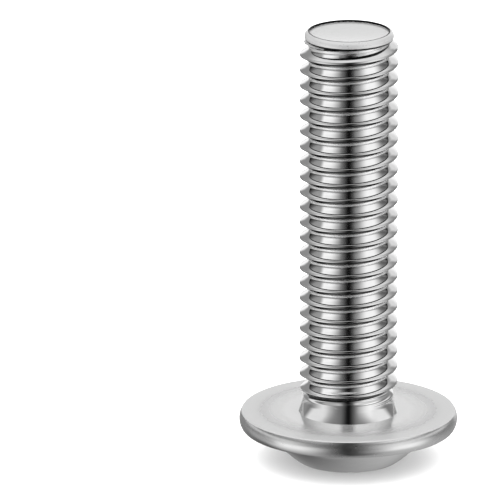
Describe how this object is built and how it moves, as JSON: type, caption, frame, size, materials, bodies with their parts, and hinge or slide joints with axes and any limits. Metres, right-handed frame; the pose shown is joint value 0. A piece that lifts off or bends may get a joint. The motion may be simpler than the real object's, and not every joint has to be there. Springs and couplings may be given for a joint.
{
  "type": "flanged button head screw",
  "caption": "Machine screw with a low domed head on an integral round flange, a hexagon socket, a short plain neck and a right-hand thread up to a bevelled tip.",
  "frame": {"origin": "on the screw's axis, in the plane of the narrow flat ring around the mouth of the socket, which the screw stands on", "axes": "+Z along the axis from the head to the tip, so the screw stands on its head with the thread upwards; -Y is the side towards the viewer"},
  "size_m": [0.011, 0.011, 0.0226],
  "materials": {
    "polished_steel": "bright polished steel, mirror-like, with faint turning marks on the faces"
  },
  "bodies": {
    "root": {"screw": "polished_steel"}
  },
  "joints": []
}
